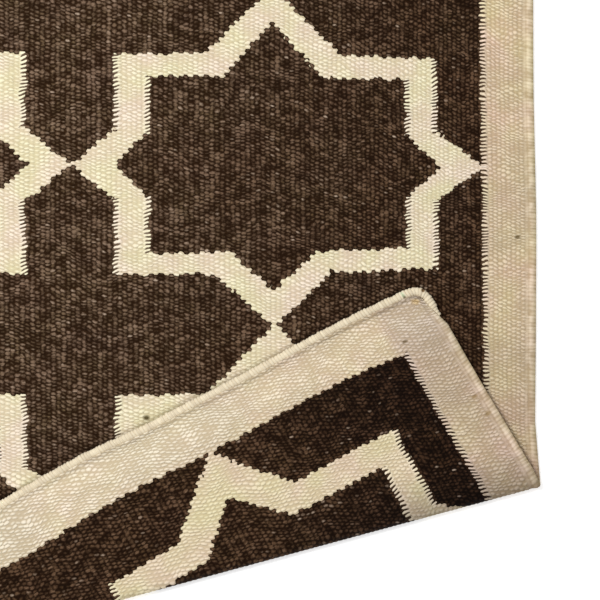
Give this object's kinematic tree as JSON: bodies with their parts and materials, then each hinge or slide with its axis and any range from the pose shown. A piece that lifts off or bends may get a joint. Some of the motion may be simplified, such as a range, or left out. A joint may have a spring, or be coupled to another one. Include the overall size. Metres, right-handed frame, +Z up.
{
  "type": "kilim rug",
  "caption": "Small flat-woven wool rug with a dark ground, cream star lattice, beige border and whipped ends, lying flat with its near right corner turned back.",
  "frame": {"origin": "on the floor, near the middle of the rug's underside: midway between the selvedges, and 493 mm from the far end", "axes": "+X across the rug to its right selvedge, +Y along the warps to the far end, +Z up; the turned back corner is the one at +X and -Y"},
  "size_m": [0.6062, 0.9579, 0.0103],
  "materials": {
    "woven_wool": "matte flat weave of wool in dark brown, cream and beige",
    "whipping_yarn": "matte cream wool yarn, overcast"
  },
  "bodies": {
    "root": {"rug_panel": "woven_wool", "near_end_binding": "whipping_yarn", "far_end_binding": "whipping_yarn"}
  },
  "joints": []
}
